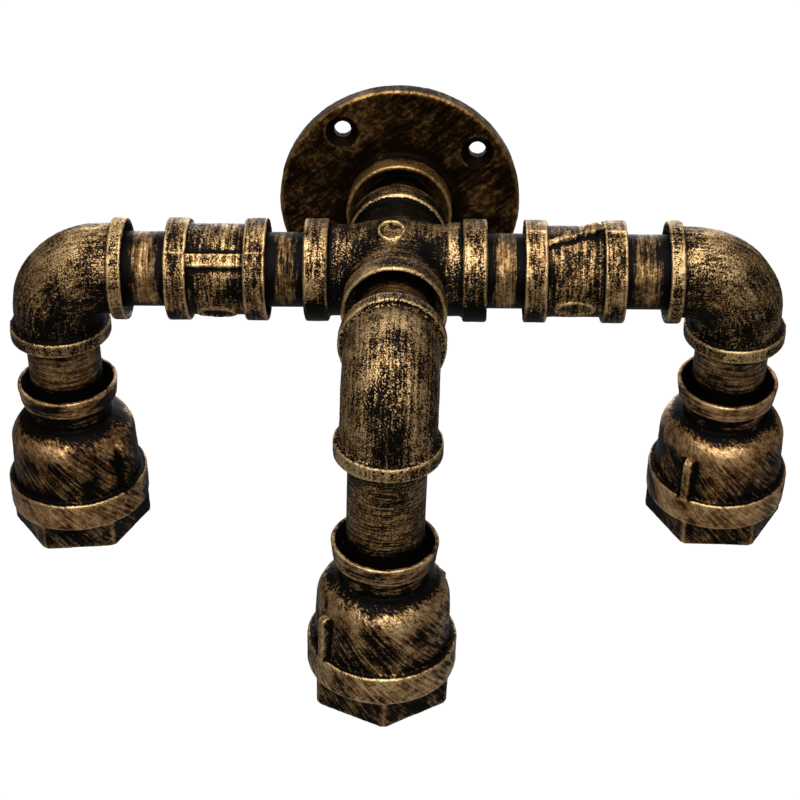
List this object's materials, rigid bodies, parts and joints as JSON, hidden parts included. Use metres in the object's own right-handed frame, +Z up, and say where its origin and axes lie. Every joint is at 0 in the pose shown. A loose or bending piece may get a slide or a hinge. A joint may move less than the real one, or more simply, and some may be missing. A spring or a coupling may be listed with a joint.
{
  "type": "pipe wall light",
  "caption": "Wall light of threaded pipe fittings: a round wall flange and a cross carry side arms and a front arm, each ending in a downward bell with a screw lamp socket.",
  "frame": {"origin": "centre of the flange's back face, on the wall", "axes": "+X to the right along the side arms, +Y into the wall, +Z up"},
  "size_m": [0.3, 0.1633, 0.1725],
  "materials": {
    "cast_fitting": "black paint dry-brushed with bronze over a sand-cast surface",
    "pipe": "black paint brushed round with bronze",
    "porcelain": "glazed",
    "brass": "bright pressed brass",
    "cable": "matte sheath",
    "terminal_block": "moulded"
  },
  "bodies": {
    "fixture": {"wall_flange": "cast_fitting", "flange_nipple": "pipe", "cross_fitting": "cast_fitting", "left_inner_nipple": "pipe", "left_coupling": "cast_fitting", "left_outer_nipple": "pipe", "right_inner_nipple": "pipe", "right_coupling": "cast_fitting", "right_outer_nipple": "pipe", "front_nipple": "pipe", "terminal_block": "terminal_block", "terminal_block_screws": "brass", "left_feed_cable": "cable", "right_feed_cable": "cable", "front_feed_cable": "cable"},
    "left_arm": {"left_elbow": "cast_fitting", "left_drop_nipple": "pipe", "left_bell": "cast_fitting", "left_hex_bush": "cast_fitting", "left_lamp_holder": "porcelain", "left_screw_shell": "brass", "left_centre_contact": "brass", "left_terminal_screws": "brass", "left_arm_cable": "cable"},
    "right_arm": {"right_elbow": "cast_fitting", "right_drop_nipple": "pipe", "right_bell": "cast_fitting", "right_hex_bush": "cast_fitting", "right_lamp_holder": "porcelain", "right_screw_shell": "brass", "right_centre_contact": "brass", "right_terminal_screws": "brass", "right_arm_cable": "cable"},
    "front_arm": {"front_elbow": "cast_fitting", "front_drop_nipple": "pipe", "front_bell": "cast_fitting", "front_hex_bush": "cast_fitting", "front_lamp_holder": "porcelain", "front_screw_shell": "brass", "front_centre_contact": "brass", "front_terminal_screws": "brass", "front_arm_cable": "cable"}
  },
  "joints": [
    {"name": "left_arm_swing", "type": "hinge", "parent": "fixture", "child": "left_arm", "pos_m": [-0.1236, -0.0605, 0], "axis": [-1, 0, 0], "range_deg": [-9, 91]},
    {"name": "right_arm_swing", "type": "hinge", "parent": "fixture", "child": "right_arm", "pos_m": [0.1236, -0.0605, 0], "axis": [-1, 0, 0], "range_deg": [-5, 95]},
    {"name": "front_arm_swing", "type": "hinge", "parent": "fixture", "child": "front_arm", "pos_m": [0, -0.1369, 0], "axis": [0, -1, 0], "range_deg": [-33, 37]}
  ]
}
